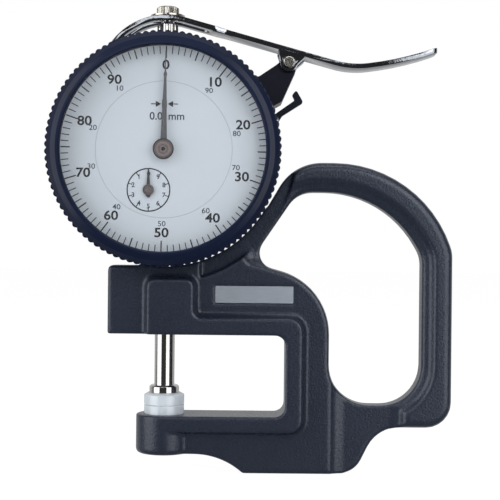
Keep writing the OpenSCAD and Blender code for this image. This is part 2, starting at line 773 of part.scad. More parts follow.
module dial_ring() {
    color("whitesmoke") on_dial() turned_y([[inner_dial_r + 0.1, dial_y[0]], [bezel_bore, dial_y[0]],
        [bezel_bore, dial_y[1]], [inner_dial_r + 0.1, dial_y[1]]]);
}

tick_out = bezel_bore - 0.6;

module dial_marks() {
    color("black") on_dial() rotate([0, hand_turn, 0]) prism_y(dial_y[0] - ink_t, dial_y[0])
        for (i = [0:99]) {
            long = i % 10 == 0 ? 2.9 : i % 5 == 0 ? 2.3 : 1.9;
            tick(3.6 * i, tick_out - long, tick_out, i % 5 == 0 ? 0.3 : 0.22);
        }
}

hand_turn = 1;

// A hand's outline from its right side, bottom to top
function mirrored(v) = concat(v, [for (i = [len(v) - 1:-1:0]) [-v[i][0], v[i][1]]]);

module pointer() {
    color("dimgray") on_dial() rotate([0, hand_turn, 0]) difference() {
        union() {
            turned_y([[0, hub_y[0]], [2.1, hub_y[0]], [2.375, hub_y[0] + 0.25], [2.375, hub_y[1]],
                [0, hub_y[1]]]);
            prism_y(pointer_y[0], pointer_y[1]) polygon(mirrored([[0.85, 0], [0.3, tick_out - 7.6],
                [0.45, tick_out - 7], [0.2, tick_out - 6.2], [0.125, tick_out - 5.4],
                [0.125, tick_out - 1.4]]));
        }
        rod_y(arbor_r + seat, hub_y[0] - 1, hub_y[1] + 1);
    }
}

module counter_hand() {
    color("dimgray") at(counter_at) difference() {
        union() {
            rod_y(1.35, hand_y[0], hand_y[1]);
            prism_y(hand_y[0] + 0.08, hand_y[1]) polygon(mirrored([[0.3, -1.85], [0.8, -1], [0.5, 0],
                [0.17, counter_r - 0.4]]));
        }
        rod_y(arbor_r + seat, hand_y[0] - 1, hand_y[1] + 1);
    }
}

// Bezel with its crystal

module bezel() {
    flat_r = knurl_r - rib_h;
    skirt = case_r + run;
    steps = ribs * 4;
    color("dimgray") on_dial() difference() {
        union() {
            turned_y([[skirt, knurl_back], [flat_r, knurl_back], [flat_r, knurl_front],
                [flat_r - 0.9, -14.6], [flat_r - 2.1, bezel_front], [window_r + 0.3, bezel_front],
                [window_r, bezel_front + 0.3], [window_r, crystal_y[0]], [bezel_bore, crystal_y[0]],
                [bezel_bore, dial_y[1]], [bezel_bore - 1.2, dial_y[1]],
                [bezel_bore - 1.2, dial_y[1] + 0.4], [skirt, dial_y[1] + 0.4]]);
            prism_y(knurl_front + 0.3, knurl_back - 0.3) difference() {
                polygon([for (i = [0:steps - 1]) let (a = 360 * i / steps, k = i % 4,
                    r = flat_r + (k == 0 ? -0.05 : k == 2 ? rib_h : rib_h * 0.72)) r * [cos(a), sin(a)]]);
                circle(r = flat_r - 0.6);
            }
        }
        // Groove for the spring ring
        turned_y([[skirt - 0.1, -9.2], [case_r + 0.4, -9.2], [case_r + 0.4, -8.6], [skirt - 0.1, -8.6]]);
    }
}

module crystal() {
    color("lightblue") on_dial() turned_y([[0, crystal_y[0]], [crystal_r, crystal_y[0]],
        [crystal_r, crystal_y[1]], [0, crystal_y[1]]]);
}

module crystal_gasket() {
    color("black") on_dial() turned_y([[crystal_r, crystal_y[0]], [bezel_bore, crystal_y[0]],
        [bezel_bore, crystal_y[1] + 0.6], [window_r, crystal_y[1] + 0.6], [window_r, crystal_y[1]],
        [crystal_r, crystal_y[1]]]);
}

// Split wire that holds the bezel on the case
module bezel_spring_ring() {
    color("silver") on_dial() rotate([-90, 0, 0]) rotate_extrude(angle = 350)
        translate([case_r + 0.05, -8.9]) circle(r = 0.28);
}

// Spindle group

module spindle() {
    grooves = ceil((travel + 6) / rack_pitch);
    below = ceil(travel / rack_pitch) + 3;
    first = counter_at[1] - below * rack_pitch;
    color("silver") difference() {
        union() {
            translate([0, 0, tip_h + face_gap + holder_h]) cylinder(r = spindle_r,
                h = shoulder_z - tip_h - face_gap - holder_h);
            translate([0, 0, shoulder_z]) cylinder(r = neck_r, h = flange_low + flange_t - shoulder_z);
        }
        // Rack: a flat on the left side, with straight-sided teeth cut into it
        translate([-rack_x - rack_add - 2, -4, first - rack_pitch])
            cube([2, 8, (grooves + 1) * rack_pitch]);
        for (i = [0:grooves - 1]) translate([-rack_x, 0, first + i * rack_pitch])
            prism_y(-4, 4) rack_groove();
        translate([0, 0, guide_z]) rotate([0, 90, 0]) cylinder(r = guide_r + seat, h = 4);
    }
}

// Gap between two rack teeth, round the pitch line
module rack_groove() {
    deep = 1.25 * rack_add;
    half = rack_pitch / 4 + backlash / 2;
    t = tan(20);
    polygon([[deep, half - deep * t], [deep, -half + deep * t], [-1.2 * rack_add, -half - 1.2 * rack_add * t],
        [-1.2 * rack_add, half + 1.2 * rack_add * t]]);
}

module contact_holder() {
    color("silver") translate([0, 0, tip_h + face_gap]) turned_z([[0, 0], [holder_d / 2, 0],
        [holder_d / 2, holder_h - 0.4], [holder_d / 2 - 0.4, holder_h], [0, holder_h]]);
}

module contact_tip() {
    color("ivory") translate([0, 0, face_gap]) turned_z([[0, 0], [face_d / 2 - 0.15, 0], [face_d / 2, 0.15],
        [face_d / 2, tip_h - 0.5], [face_d / 2 - 0.9, tip_h], [0, tip_h]]);
}

// A short round grip with fine straight knurling and an eased top
module knurled(r, h) {
    points = 60;
    deep = 0.16;
    ease = 0.3;
    linear_extrude(height = h - ease) polygon([for (i = [0:points - 1])
        (r - (i % 2 == 0 ? 0 : deep)) * [cos(360 * i / points), sin(360 * i / points)]]);
    translate([0, 0, h - ease]) cylinder(r1 = r - deep - 0.07, r2 = r - deep - ease, h = ease);
}

// Knurled knob on the spindle, whose flange the fork lifts
module lift_knob() {
    low = flange_low + flange_t;
    color("silver") difference() {
        union() {
            translate([0, 0, flange_low]) cylinder(r = flange_r, h = flange_t);
            translate([0, 0, low]) knurled(knob_r, knob_h);
        }
        translate([0, 0, flange_low - 1]) cylinder(r = neck_r + seat, h = flange_t + 1);
    }
}

module guide_pin() {
    color("silver") translate([0.6, 0, guide_z]) rotate([0, 90, 0])
        cylinder(r = guide_r, h = spring_x + spring_r + 0.4 - 0.6);
}

// Lifting lever: a bent strip, forked round the spindle neck, with two ears on the pivot pin

function bend(p, heading, r, turn, n) =
    [for (i = [0:n]) let (a = heading + turn * i / n, s = turn > 0 ? 1 : -1)
        [p[0] + s * r * (sin(a) - sin(heading)), p[1] - s * r * (cos(a) - cos(heading)), a]];

function ahead(p, d) = [p[0] + d * cos(p[2]), p[1] + d * sin(p[2]), p[2]];

function last(v) = v[len(v) - 1];

arch_left = 55;
fork_end = 10.6;
straight = 38.6;
arch = bend([-arch_r * sin(arch_left), arch_z - arch_r * (1 - cos(arch_left))], arch_left, arch_r,
    -arch_left - slope, 18);
tail_1 = bend(ahead(last(arch), straight), -slope, 21, slope + 7, 8);
tail_2 = bend(last(tail_1), last(tail_1)[2], 78, 12, 5);
top_line = concat(arch, tail_1, tail_2, [ahead(last(tail_2), 1.4)]);
// Underside of the straight part, square to the strip, above the pivot
strip_over = (flat(last(arch)) - pivot) * [sin(slope), cos(slope)] - strip_t;
under_line = [for (i = [len(top_line) - 1:-1:0]) let (q = top_line[i])
    [q[0] + strip_t * sin(q[2]), q[1] - strip_t * cos(q[2])]];
lever_left = arch[0][0];
lever_right = last(top_line)[0];

module lifting_lever() {
    half = strip_w / 2;
    fork = fork_w / 2;
    slot = fork_slot / 2;
    color("silver") {
        intersection() {
            prism_y(-fork, fork) polygon(concat([for (q = top_line) flat(q)], under_line));
            translate([0, 0, pivot_z - 20]) linear_extrude(height = 40) difference() {
                polygon(rounded([[lever_left - 3, -fork, 0], [fork_end + 1.5, -fork, 3],
                    [fork_end + 4, -half, 3], [lever_right, -half, 1.6], [lever_right, half, 1.6],
                    [fork_end + 4, half, 3], [fork_end + 1.5, fork, 3], [lever_left - 3, fork, 0]], 4));
                translate([lever_left - 4, -slot]) square([fork_end - slot - lever_left + 4, fork_slot]);
                translate([fork_end - slot, 0]) circle(r = slot);
            }
        }
        ear_top = strip_over - 0.5;
        for (y = [-half, half - ear_t]) at(pivot) difference() {
            prism_y(y, y + ear_t) rotate(-slope) union() {
                circle(r = boss_ring);
                polygon([[-boss_ring, 0], [boss_ring, 0], [3.45, ear_top], [3.45, ear_top + 0.9],
                    [-3.45, ear_top + 0.9], [-3.45, ear_top]]);
            }
            rod_y(pin_d / 2 + run, y - 1, y + ear_t + 1);
        }
    }
}

module lever_pivot_pin() {
    half = strip_w / 2;
    color("silver") at(pivot) {
        rod_y(pin_d / 2, -half - 0.2, half + 0.2);
        turned_y([[0, -half - 0.7], [1.25, -half - 0.7], [1.48, -half - 0.45], [1.48, -half - 0.15],
            [0, -half - 0.15]]);
        rod_y(1.48, half + 0.15, half + 0.7);
    }
}

bracket_angles = [27, 36];
bracket_screw_y = 5.7;
bracket_foot = [on_case(-1, 39.9), on_case(3, 39.7)];
bracket_low = [on_case(4.9, 23.8), on_case(2.7, 23.4), on_case(-0.8, 23.4)];

// Bracket on the case wall that carries the pivot pin
module lever_bracket() {
    body = ear_in - 0.15;
    wide = strip_w / 2;
    color("dimgray") difference() {
        union() {
            prism_y(-body, body) union() {
                polygon(concat(bracket_foot, [for (q = [[-3.2, -0.5], [-0.8, 1.5], [1.6, -0.6], [1.6, -2.1]])
                    pivot + q], bracket_low));
                translate(pivot) circle(r = 1.7);
            }
            prism_y(-wide, wide) polygon(concat(bracket_foot, [for (q = [[-4.1, -2.7], [-0.5, -5.1]])
                pivot + q], bracket_low));
            // Foot with the two fixing screws
            intersection() {
                on_dial() turned_y([[case_r - 1, wide - 0.5], [case_r + 1.6, wide - 0.5],
                    [case_r + 1.6, 7.3], [case_r - 1, 7.3]]);
                prism_y(0, 9) polygon([[0, dial_z], [40, dial_z + 40 * tan(23)],
                    [40, dial_z + 40 * tan(40)]]);
            }
        }
        on_dial() rod_y(case_r + seat, -20, 20);
        at(pivot) rod_y(pin_d / 2 + seat, -9, 9);
        for (a = bracket_angles) on_dial() rotate([0, -a, 0]) translate([case_r - 1, bracket_screw_y, 0])
            rotate([0, 90, 0]) cylinder(r = 0.6 + seat, h = 4);
    }
}

module bracket_screws() {
    color("silver") on_dial() for (a = bracket_angles) rotate([0, -a, 0])
        translate([case_r, bracket_screw_y, 0]) rotate([0, 90, 0]) difference() {
            union() {
                translate([0, 0, -1.8]) cylinder(r = 0.6, h = 3.6);
                translate([0, 0, 1.6]) cylinder(r = 1.1, h = 0.8);
            }
            translate([-2, -0.15, 2.1]) cube([4, 0.3, 1]);
        }
}

// Hooked finger lever that locks the bezel

module bezel_clamp() {
    color("dimgray") at(clamp_at) prism_y(clamp_y[0], clamp_y[1]) difference() {
        union() {
            circle(r = clamp_ring);
            polygon(rounded([[0.7, -0.95, 0], [1.9, 1.05, 1], [7.1, 4.4, 0.7], [5.3, 7.5, 0.4],
                [4.3, 6.2, 0.4], [4.9, 4.9, 0.4], [-0.6, 1.0, 0]], 4));
        }
        circle(r = clamp_screw_r + run);
    }
}

module clamp_screw() {
    color("silver") at(clamp_at) {
        rod_y(clamp_screw_r, clamp_y[0] - 0.1, lug_y[1] - 0.2);
        slotted_clamp_head();
    }
}

module slotted_clamp_head() {
    difference() {
        rod_y(clamp_ring - 0.1, clamp_y[0] - 0.6, clamp_y[0] - 0.06);
        translate([-2, clamp_y[0] - 1.6, -0.15]) cube([4, 1.25, 0.3]);
    }
}

frame_casting();
anvil_tip();
anvil_shank();
stem_clamp_screw();
label_plate();
indicator_case();
stem();
upper_guide_bush();
back_cover();
back_cover_gasket();
back_cover_screws();
movement_plate();
front_bridge();
rear_bridge();
movement_pillars();
movement_screws();
jewel_bearings();
dial_disc();
counter_marks();
return_spring();
spring_post();
hairspring();
hairspring_stud();
guide_plate();
bezel_spring_ring();
lever_bracket();
bracket_screws();
lever_pivot_pin();
clamp_screw();
spindle();
contact_holder();
contact_tip();
lift_knob();
guide_pin();
bezel();
crystal();
crystal_gasket();
dial_ring();
dial_marks();
pointer();
pointer_arbor();
counter_hand();
counter_arbor();
counter_wheel();
takeup_wheel();
takeup_arbor();
lifting_lever();
bezel_clamp();
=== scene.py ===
"""Dresses the dial thickness gauge: eased edges, printed dial, finishes, studio light and the camera."""

import json
from math import cos, pi, radians, sin

import bmesh
import bpy
from mathutils import Matrix, Vector


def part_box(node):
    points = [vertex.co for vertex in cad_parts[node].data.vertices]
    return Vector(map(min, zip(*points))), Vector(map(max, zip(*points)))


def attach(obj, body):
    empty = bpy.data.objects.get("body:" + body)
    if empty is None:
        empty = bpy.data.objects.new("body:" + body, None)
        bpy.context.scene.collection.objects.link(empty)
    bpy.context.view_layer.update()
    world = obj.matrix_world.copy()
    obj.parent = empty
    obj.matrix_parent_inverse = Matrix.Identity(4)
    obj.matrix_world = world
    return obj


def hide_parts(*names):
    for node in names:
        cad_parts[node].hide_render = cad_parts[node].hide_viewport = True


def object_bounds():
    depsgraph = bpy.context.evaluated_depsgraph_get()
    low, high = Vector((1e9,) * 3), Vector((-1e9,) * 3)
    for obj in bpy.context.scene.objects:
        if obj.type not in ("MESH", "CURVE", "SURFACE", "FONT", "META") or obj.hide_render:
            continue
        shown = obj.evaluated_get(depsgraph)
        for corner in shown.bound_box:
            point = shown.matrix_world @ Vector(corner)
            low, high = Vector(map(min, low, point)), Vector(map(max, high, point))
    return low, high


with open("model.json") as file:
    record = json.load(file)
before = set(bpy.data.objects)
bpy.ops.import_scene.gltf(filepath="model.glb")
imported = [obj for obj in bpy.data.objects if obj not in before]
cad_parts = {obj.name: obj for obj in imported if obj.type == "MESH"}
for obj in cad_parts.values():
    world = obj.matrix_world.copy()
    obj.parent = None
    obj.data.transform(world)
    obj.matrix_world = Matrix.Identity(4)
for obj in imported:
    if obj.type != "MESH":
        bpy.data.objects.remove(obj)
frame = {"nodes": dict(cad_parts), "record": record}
cad_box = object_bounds()

MM = 0.001
WELD = 0.0005 * MM
nodes = frame["nodes"]
record = frame["record"]
scene = bpy.context.scene
body_of = {n: body for body, names in record["behaviour"]["bodies"].items() for n in names}
slot_of = {p["node"]: p["material_slot"] for p in record["subparts"]}


def low(node):
    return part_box(node)[0]


def high(node):
    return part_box(node)[1]


def centre(node):
    return (low(node) + high(node)) / 2


# Materials


def linear(code):
    """The linear RGBA of an sRGB hex value."""
    channels = [int(code[i : i + 2], 16) / 255 for i in (0, 2, 4)]
    return [c / 12.92 if c <= 0.04045 else ((c + 0.055) / 1.055) ** 2.4 for c in channels] + [1.0]


def add(tree, kind, inputs=None, **settings):
    """Adds a shader node with its settings; an input is a value or another node's output."""
    node = tree.nodes.new(kind)
    for name, value in settings.items():
        setattr(node, name, value)
    for name, value in (inputs or {}).items():
        if isinstance(value, bpy.types.NodeSocket):
            tree.links.new(value, node.inputs[name])
        else:
            node.inputs[name].default_value = value
    return node


def finish(name, **uniform):
    """A new material, its tree, its Principled shader and its Object coordinates."""
    material = bpy.data.materials.new(name)
    material.use_nodes = True
    tree = material.node_tree
    shader = tree.nodes["Principled BSDF"]
    for socket, value in uniform.items():
        shader.inputs[socket.replace("_", " ")].default_value = value
    place = add(tree, "ShaderNodeTexCoord").outputs["Object"]
    return material, tree, shader, place


def per_mm(size):
    """Texture scale for features of that size in millimetres."""
    return 1 / (size * MM)


def cast_slate():
    """Die casting under baked slate enamel: eggshell sheen over the fine orange-peel grain of the spray.

    The peel and the specks are drawn somewhat coarser than they are, so that they show.
    """
    material, tree, shader, place = finish(
        "cast_slate_enamel", IOR=1.5, Specular_IOR_Level=0.6, Specular_Tint=linear("f2f6ff")
    )
    peel = add(tree, "ShaderNodeTexNoise", {"Vector": place, "Scale": per_mm(0.5), "Detail": 3.0})
    cloud = add(tree, "ShaderNodeTexNoise", {"Vector": place, "Scale": per_mm(16), "Detail": 3.0})
    speck = add(tree, "ShaderNodeTexNoise", {"Vector": place, "Scale": per_mm(0.9), "Detail": 3.0})
    tone = add(
        tree,
        "ShaderNodeMix",
        {"Factor": cloud.outputs["Fac"], "A": linear("262d3b"), "B": linear("2f3646")},
        data_type="RGBA",
    )
    grain = add(
        tree,
        "ShaderNodeMix",
        {"Factor": speck.outputs["Fac"], "A": tone.outputs["Result"], "B": linear("d8d8dc")},
        data_type="RGBA",
        blend_type="MULTIPLY",
    )
    tree.links.new(grain.outputs["Result"], shader.inputs["Base Color"])
    rough = add(
        tree, "ShaderNodeMapRange", {"Value": speck.outputs["Fac"], "To Min": 0.22, "To Max": 0.36}
    )
    tree.links.new(rough.outputs["Result"], shader.inputs["Roughness"])
    bump = add(
        tree,
        "ShaderNodeBump",
        {"Height": peel.outputs["Fac"], "Strength": 0.8, "Distance": 0.1 * MM},
    )
    tree.links.new(bump.outputs["Normal"], shader.inputs["Normal"])
    return material


def enamel(name, dark, light, roughness):
    """Sprayed enamel: satin, with a slow drift in tone and a faint spray texture.

    The texture is drawn coarse enough to show.
    """
    material, tree, shader, place = finish(name, IOR=1.4, Specular_IOR_Level=0.4)
    drift = add(tree, "ShaderNodeTexNoise", {"Vector": place, "Scale": per_mm(9), "Detail": 3.0})
    spray = add(tree, "ShaderNodeTexNoise", {"Vector": place, "Scale": per_mm(0.35), "Detail": 2.0})
    tone = add(
        tree,
        "ShaderNodeMix",
        {"Factor": drift.outputs["Fac"], "A": linear(dark), "B": linear(light)},
        data_type="RGBA",
    )
    tree.links.new(tone.outputs["Result"], shader.inputs["Base Color"])
    rough = add(
        tree,
        "ShaderNodeMapRange",
        {"Value": spray.outputs["Fac"], "To Min": roughness - 0.06, "To Max": roughness + 0.06},
    )
    tree.links.new(rough.outputs["Result"], shader.inputs["Roughness"])
    bump = add(
        tree,
        "ShaderNodeBump",
        {"Height": spray.outputs["Fac"], "Strength": 0.12, "Distance": 0.02 * MM},
    )
    tree.links.new(bump.outputs["Normal"], shader.inputs["Normal"])
    return material


def metal(name, dark, light, roughness, grain, stretch=(1, 1, 1), depth=0.05, height=0.01):
    """Bare metal: the lay of its grinding, drawing or plating breaks the reflections along one direction.

    The lay is drawn coarser than it is, so that it shows. Its relief is depth times height millimetres.
    """
    material, tree, shader, place = finish(name, Metallic=1.0)
    lay = add(tree, "ShaderNodeMapping", {"Vector": place, "Scale": stretch})
    lines = add(
        tree,
        "ShaderNodeTexNoise",
        {"Vector": lay.outputs["Vector"], "Scale": per_mm(grain), "Detail": 4.0},
    )
    tone = add(
        tree,
        "ShaderNodeMix",
        {"Factor": lines.outputs["Fac"], "A": linear(dark), "B": linear(light)},
        data_type="RGBA",
    )
    tree.links.new(tone.outputs["Result"], shader.inputs["Base Color"])
    rough = add(
        tree,
        "ShaderNodeMapRange",
        {"Value": lines.outputs["Fac"], "To Min": roughness * 0.75, "To Max": roughness * 1.25},
    )
    tree.links.new(rough.outputs["Result"], shader.inputs["Roughness"])
    bump = add(
        tree,
        "ShaderNodeBump",
        {"Height": lines.outputs["Fac"], "Strength": depth, "Distance": height * MM},
    )
    tree.links.new(bump.outputs["Normal"], shader.inputs["Normal"])
    return material


def turned_face(name, dark, light, middle):
    """Face-turned nickel silver: light fans out from the hub across the rings of the lathe.

    The rings are drawn coarse enough to show. The warm brownish tint of the hubs' colours is a painted
    reflection.
    """
    material, tree, shader, place = finish(name, Metallic=1.0)
    hub = add(tree, "ShaderNodeMapping", {"Vector": place, "Location": -Vector(middle)})
    rings = add(
        tree,
        "ShaderNodeTexWave",
        {"Vector": hub.outputs["Vector"], "Scale": per_mm(0.16) / 20, "Distortion": 1.5, "Detail": 2.0},
        wave_type="RINGS",
        rings_direction="Y",
    )
    tone = add(
        tree,
        "ShaderNodeMix",
        {"Factor": rings.outputs["Fac"], "A": linear(dark), "B": linear(light)},
        data_type="RGBA",
    )
    tree.links.new(tone.outputs["Result"], shader.inputs["Base Color"])
    rough = add(
        tree, "ShaderNodeMapRange", {"Value": rings.outputs["Fac"], "To Min": 0.34, "To Max": 0.5}
    )
    tree.links.new(rough.outputs["Result"], shader.inputs["Roughness"])
    return material


def ceramic():
    """Lapped zirconia: cold white, hard gloss, with a barely cloudy body."""
    material, tree, shader, place = finish("lapped_zirconia", IOR=1.9)
    cloud = add(tree, "ShaderNodeTexNoise", {"Vector": place, "Scale": per_mm(2.5), "Detail": 2.0})
    tone = add(
        tree,
        "ShaderNodeMix",
        {"Factor": cloud.outputs["Fac"], "A": linear("d3dde6"), "B": linear("e3ebf2")},
        data_type="RGBA",
    )
    tree.links.new(tone.outputs["Result"], shader.inputs["Base Color"])
    rough = add(
        tree, "ShaderNodeMapRange", {"Value": cloud.outputs["Fac"], "To Min": 0.2, "To Max": 0.3}
    )
    tree.links.new(rough.outputs["Result"], shader.inputs["Roughness"])
    return material


def lacquer(name, dark, light, roughness, gloss=0.5):
    """Lacquer, ink, rubber or ruby: even, with a faint grain that is drawn coarse enough to show."""
    material, tree, shader, place = finish(name, IOR=1.45, Specular_IOR_Level=gloss)
    grain = add(tree, "ShaderNodeTexNoise", {"Vector": place, "Scale": per_mm(0.25), "Detail": 2.0})
    tone = add(
        tree,
        "ShaderNodeMix",
        {"Factor": grain.outputs["Fac"], "A": linear(dark), "B": linear(light)},
        data_type="RGBA",
    )
    tree.links.new(tone.outputs["Result"], shader.inputs["Base Color"])
    rough = add(
        tree,
        "ShaderNodeMapRange",
        {"Value": grain.outputs["Fac"], "To Min": roughness, "To Max": roughness + 0.1},
    )
    tree.links.new(rough.outputs["Result"], shader.inputs["Roughness"])
    return material


def window():
    """Cast acrylic window: clear, seen only by its faint gloss and a few polishing hairs."""
    material, tree, shader, place = finish("acrylic_window", IOR=1.49, Alpha=0.03)
    hairs = add(tree, "ShaderNodeTexNoise", {"Vector": place, "Scale": per_mm(1.2), "Detail": 4.0})
    rough = add(
        tree, "ShaderNodeMapRange", {"Value": hairs.outputs["Fac"], "To Min": 0.02, "To Max": 0.09}
    )
    tree.links.new(rough.outputs["Result"], shader.inputs["Roughness"])
    shader.inputs["Base Color"].default_value = linear("f2f6fa")
    return material


dial_middle = centre("crystal")
counter_middle = centre("counter_arbor")

slate = cast_slate()
# Navy enamel on the turned bezel: satin, so that its crown holds a soft light ring
navy = enamel("bezel_navy_enamel", "0c152b", "141f3c", 0.3)
# The same enamel on the case, sprayed drier: darker and softer
case_navy = enamel("case_navy_enamel", "0d1322", "141c30", 0.38)
# Blue-black enamel on pressed steel: nearly black, with a cold sheen on its edges
black = enamel("bracket_black_enamel", "050818", "0a0e22", 0.34)
zirconia = ceramic()
# Ground spindle steel: sharp bright and dark bands, with fine rings across the axis
ground_steel = metal("ground_steel", "b9b8b6", "d8d7d4", 0.09, 0.3, (0.2, 0.2, 2.0))
# Drawn steel of screws and pins: grey, softly blurred
drawn_steel = metal("drawn_steel", "7f8288", "a7a9ad", 0.3, 0.4)
# Heat-blued spring steel: deep blue with a metal glint
blued_steel = metal("blued_steel", "1d2b52", "2c3e70", 0.25, 0.5)
# Black oxide on steel: charcoal, with a dull gleam
black_oxide = metal("black_oxide_steel", "17171a", "26262a", 0.38, 0.4)
# Rolled brass of the movement: warm yellow, grained along the sheet
rolled_brass = metal("rolled_brass", "a98742", "c6a257", 0.28, 0.5, (0.15, 1, 1))
# Chrome plate on bent strip: mirror bright, broken into glints by the waves of the strip below it
chrome = metal("chrome_plate", "878b92", "9da1a8", 0.08, 0.9, depth=1.0, height=0.025)
# Nickel plate on knurled parts: warm white, half blurred
nickel = metal("nickel_plate", "bdb9b0", "dedbd3", 0.2, 0.5)
# Satin anodised plate: pale grey, grained along its length
satin_plate = metal("satin_aluminium", "b6bec9", "d0d8e3", 0.48, 0.3, (0.08, 1, 1), 0.2)
# Turned hubs of the hands: their warm brownish tone is a painted reflection
hub_metal_painted_reflection = turned_face("turned_hub", "7c6f70", "a0908e", dial_middle)
counter_hub_painted_reflection = turned_face("turned_counter_hub", "6e6162", "928280", counter_middle)
# Dial lacquer: cool white and flat, easy to read
dial_white = lacquer("dial_lacquer", "c3ccd6", "cdd6df", 0.5)
# Matt printing inks: near black for bold strokes, slate for the fine ones
ink = lacquer("printing_ink", "0a0b16", "10121d", 0.6, 0.12)
fine_ink = lacquer("fine_printing_ink", "20243a", "292d42", 0.6, 0.12)
# Shaded seam of the dial: a hair of grey
seam_grey = lacquer("dial_seam_grey", "868e99", "9098a3", 0.5)
# Enamel of the hands: black on the small one, graphite grey on the large one
hand_black = lacquer("counter_hand_enamel", "15161c", "1e1f26", 0.45)
hand_grey = lacquer("hand_enamel", "3e3f46", "494a51", 0.45)
clear = window()
# Moulded nitrile rubber of the seals: dead black and dull
nitrile = lacquer("nitrile_rubber", "0c0c0d", "141415", 0.75)
# Polished ruby bearings: deep red and glossy
ruby = lacquer("ruby_bearing", "8d0a1c", "a81428", 0.15)

FINISH = {
    "frame_paint": slate,
    "black_paint": case_navy,
    "ceramic": zirconia,
    "steel": drawn_steel,
    "black_steel": black_oxide,
    "spring_steel": blued_steel,
    "plate_aluminium": satin_plate,
    "brass": rolled_brass,
    "ruby": ruby,
    "dial_white": dial_white,
    "ink": ink,
    "hand_grey": hand_grey,
    "chrome": chrome,
    "nickel": nickel,
    "crystal_clear": clear,
    "gasket_rubber": nitrile,
}
OWN_FINISH = {
    "bezel": navy,
    "counter_hand": hand_black,
    "lever_bracket": black,
    "bezel_clamp": black,
    "spindle": ground_steel,
    "contact_holder": ground_steel,
    "stem": ground_steel,
    "upper_guide_bush": ground_steel,
    "lever_pivot_pin": nickel,
    "pointer_arbor": black_oxide,
}


def finish_of(node):
    return OWN_FINISH.get(node, FINISH[slot_of[node]])


# Pieces


def piece(name, bm, node, material, crease=30):
    """Turns a bmesh into a piece in the given material, which rides with the node's body."""
    mesh = bpy.data.meshes.new(name)
    bm.to_mesh(mesh)
    bm.free()
    mesh.materials.append(material)
    mesh.shade_smooth()
    mesh.set_sharp_from_angle(angle=radians(crease))
    obj = bpy.data.objects.new(name, mesh)
    scene.collection.objects.link(obj)
    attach(obj, body_of[node])
    return obj


def merged(node):
    """A welded copy of a CAD node's mesh."""
    bm = bmesh.new()
    bm.from_mesh(nodes[node].data)
    bmesh.ops.remove_doubles(bm, verts=bm.verts, dist=WELD)
    return bm


def even_light(obj):
    """Keeps large flats flat beside small bevels."""
    weigh = obj.modifiers.new("flat_faces", "WEIGHTED_NORMAL")
    weigh.keep_sharp = True
    weigh.weight = 80


# Rings of the bezel's front, (radius, Y) in millimetres, in the solid and as dressed with a broad crown
CROWN = (((25.9, -15.2), (25.6, -15.2)), ((27.1, -14.6), (26.85, -14.72)))


def crown(bm):
    """Draws two rings of the bezel's front inwards, so that its crown slopes more broadly."""
    for (old_r, old_y), (new_r, new_y) in CROWN:
        ring = [
            v
            for v in bm.verts
            if abs(v.co.y - old_y * MM) < 0.01 * MM
            and abs((v.co - dial_middle).xz.length - old_r * MM) < 0.05 * MM
        ]
        shrink = new_r / old_r
        bmesh.ops.scale(bm, vec=(shrink, 1, shrink), space=Matrix.Translation(-dial_middle), verts=ring)
        bmesh.ops.translate(bm, vec=(0, (new_y - old_y) * MM, 0), verts=ring)


def eased(node, edge, crease, steps=2):
    """Stands for a CAD node, with its sharp edges rounded by edge millimetres."""
    bm = merged(node)
    if node == "bezel":
        crown(bm)
    bmesh.ops.dissolve_limit(bm, angle_limit=radians(0.5), verts=bm.verts, edges=bm.edges)
    sharp = [e for e in bm.edges if e.is_manifold and e.calc_face_angle() > radians(crease)]
    bmesh.ops.bevel(
        bm,
        geom=sharp,
        offset=edge * MM,
        offset_type="OFFSET",
        affect="EDGES",
        segments=steps,
        profile=0.5,
        material=-1,
        clamp_overlap=True,
    )
    obj = piece(node + "_eased", bm, node, finish_of(node), crease)
    # The lever is one long bend, which keeps its own smooth shading
    if node != "lifting_lever":
        even_light(obj)
    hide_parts(node)
    return obj


def cast_body():
    """The casting, with the soft edges and blended corners that cast and painted metal has."""
    voxel = 0.36 * MM
    bm = merged("frame_casting")
    obj = piece("cast_frame", bm, "frame_casting", slate, 180)
    skin = obj.modifiers.new("cast_skin", "REMESH")
    skin.mode = "VOXEL"
    skin.voxel_size = voxel
    skin.use_smooth_shade = True
    soften = obj.modifiers.new("soft_edges", "SMOOTH")
    soften.factor = 0.5
    soften.iterations = 3
    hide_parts("frame_casting")
    return obj


cast_body()
# Faces that meet at less than this many degrees are shaded as one; the bezel's crown keeps its edges
USUAL_CREASE = 32
CREASE = {"bezel": 15}
# Radius in millimetres on the sharp edges of each piece
EASED = {
    "anvil_tip": 0.04,
    "contact_tip": 0.04,
    "contact_holder": 0.08,
    "stem_clamp_screw": 0.1,
    "label_plate": 0.06,
    "indicator_case": 0.15,
    "stem": 0.08,
    "upper_guide_bush": 0.08,
    "back_cover": 0.12,
    "back_cover_screws": 0.06,
    "lever_bracket": 0.15,
    "bracket_screws": 0.06,
    "lever_pivot_pin": 0.08,
    "clamp_screw": 0.05,
    "spindle": 0.03,
    "lift_knob": 0.06,
    "bezel": 0.1,
    "crystal": 0.1,
    "pointer": 0.03,
    "counter_hand": 0.03,
    "lifting_lever": 0.22,
    "bezel_clamp": 0.12,
}
eased_pieces = {
    node: eased(node, edge, crease=CREASE.get(node, USUAL_CREASE)) for node, edge in EASED.items()
}
for node, obj in nodes.items():
    if node not in EASED and node != "frame_casting":
        obj.data.materials.clear()
        obj.data.materials.append(finish_of(node))


def hub_faces(node, material, middle, radius):
    """Gives the faces round a hand's hub the turned finish, with its painted reflection."""
    mesh = eased_pieces[node].data
    mesh.materials.append(material)
    for face in mesh.polygons:
        if (face.center - middle).xz.length < radius * MM:
            face.material_index = 1


# Radii in millimetres of the turned hubs of the hands
POINTER_HUB_R = 2.37
COUNTER_HUB_R = 1.3
hub_faces("pointer", hub_metal_painted_reflection, dial_middle, POINTER_HUB_R)
hub_faces("counter_hand", counter_hub_painted_reflection, counter_middle, COUNTER_HUB_R)


